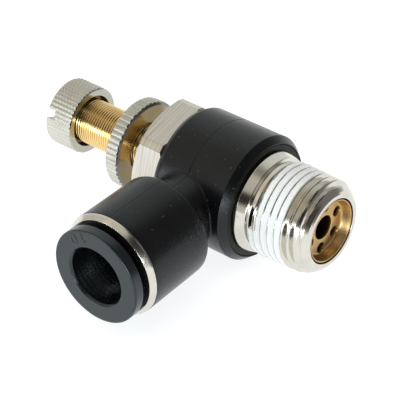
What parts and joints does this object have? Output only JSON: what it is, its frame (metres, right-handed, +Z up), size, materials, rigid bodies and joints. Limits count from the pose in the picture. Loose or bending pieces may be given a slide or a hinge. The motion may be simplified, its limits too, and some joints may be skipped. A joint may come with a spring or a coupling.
{
  "type": "flow control valve",
  "caption": "Right-angle pneumatic flow control valve: knurled needle knob, swivelling plastic body with a push-in tube port, taper-threaded metal stem.",
  "frame": {"origin": "on the valve axis, at the gauge plane of the R3/8 taper thread, 6.4 mm in from the thread's end face", "axes": "+X along the valve axis, out of the thread end; the tube port opens to -Y; +Z up, square to both, as the valve lies on its side"},
  "size_m": [0.057, 0.0433, 0.022],
  "materials": {
    "nickel_plate": "satin nickel plate over brass",
    "brass": "turned",
    "spring_steel": "stamped",
    "black_plastic": "satin moulded",
    "inner_plastic": "moulded",
    "sleeve_plastic": "satin moulded",
    "rubber": "matte",
    "sealant": "dried PTFE coating"
  },
  "bodies": {
    "stem": {"stem_body": "nickel_plate", "thread_sealant": "sealant", "flow_insert": "brass", "check_seal": "rubber", "hex_side_o_ring": "rubber", "thread_side_o_ring": "rubber", "retaining_ring": "black_plastic"},
    "needle_slide": {"needle_o_ring": "rubber"},
    "needle_screw": {"needle": "brass", "adjusting_knob": "nickel_plate"},
    "nut": {"lock_nut": "nickel_plate"},
    "swivel": {"swivel_body": "black_plastic", "tube_seal": "rubber", "seal_backup_ring": "inner_plastic", "collet": "spring_steel", "collet_guide": "inner_plastic", "port_ring": "nickel_plate"},
    "sleeve": {"release_sleeve": "sleeve_plastic"}
  },
  "joints": [
    {"name": "body_swivel", "type": "hinge", "parent": "stem", "child": "swivel", "pos_m": [-0.0162, 0, 0], "axis": [1, 0, 0], "continuous": true},
    {"name": "needle_travel", "type": "slide", "parent": "stem", "child": "needle_slide", "axis": [1, 0, 0], "range_m": [0, 0.004]},
    {"name": "needle_turn", "type": "hinge", "parent": "needle_slide", "child": "needle_screw", "pos_m": [-0.0162, 0, 0], "axis": [1, 0, 0], "range_deg": [0, 2880]},
    {"name": "nut_travel", "type": "slide", "parent": "stem", "child": "nut", "axis": [1, 0, 0], "range_m": [-0.002, 0.0041]},
    {"name": "sleeve_press", "type": "slide", "parent": "swivel", "child": "sleeve", "axis": [0, 1, 0], "range_m": [0, 0.0013], "stiffness_N_per_m": 400}
  ],
  "couplings": [
    {"joint": "needle_turn", "follows": "needle_travel", "rad_per_m": 12566}
  ]
}
